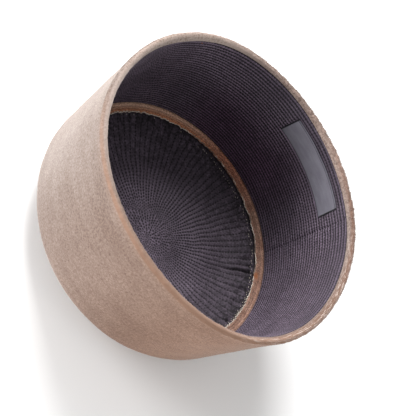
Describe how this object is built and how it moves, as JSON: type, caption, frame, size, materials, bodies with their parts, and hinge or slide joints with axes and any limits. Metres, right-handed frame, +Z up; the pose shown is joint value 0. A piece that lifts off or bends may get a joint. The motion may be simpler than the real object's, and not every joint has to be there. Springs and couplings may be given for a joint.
{
  "type": "velvet kufi",
  "caption": "Soft brimless velvet cap with a tall straight side, gently domed crown, turned rim and quilted lining, lying on its crown with the head opening up.",
  "frame": {"origin": "on the surface the cap rests on, under the middle of the crown's flat patch", "axes": "+Z up through the crown and out of the head opening; +X and +Y across the opening, with the label on the +Y side"},
  "size_m": [0.1936, 0.1926, 0.104],
  "materials": {
    "velvet": "short brushed cotton velvet, rose taupe, soft sheen at grazing angles",
    "quilted_lining": "dark plum grey lining cloth quilted in close stitched rows, matt",
    "seam_velvet": "trimmed velvet seam allowance, tan brown, matt",
    "label_tape": "plain woven satin tape, slate grey, no text",
    "overlock_thread": "pale spun polyester thread, matt"
  },
  "bodies": {
    "root": {"side_velvet": "velvet", "crown_velvet": "velvet", "side_lining": "quilted_lining", "crown_lining": "quilted_lining", "seam_band": "seam_velvet", "label": "label_tape"}
  },
  "joints": []
}
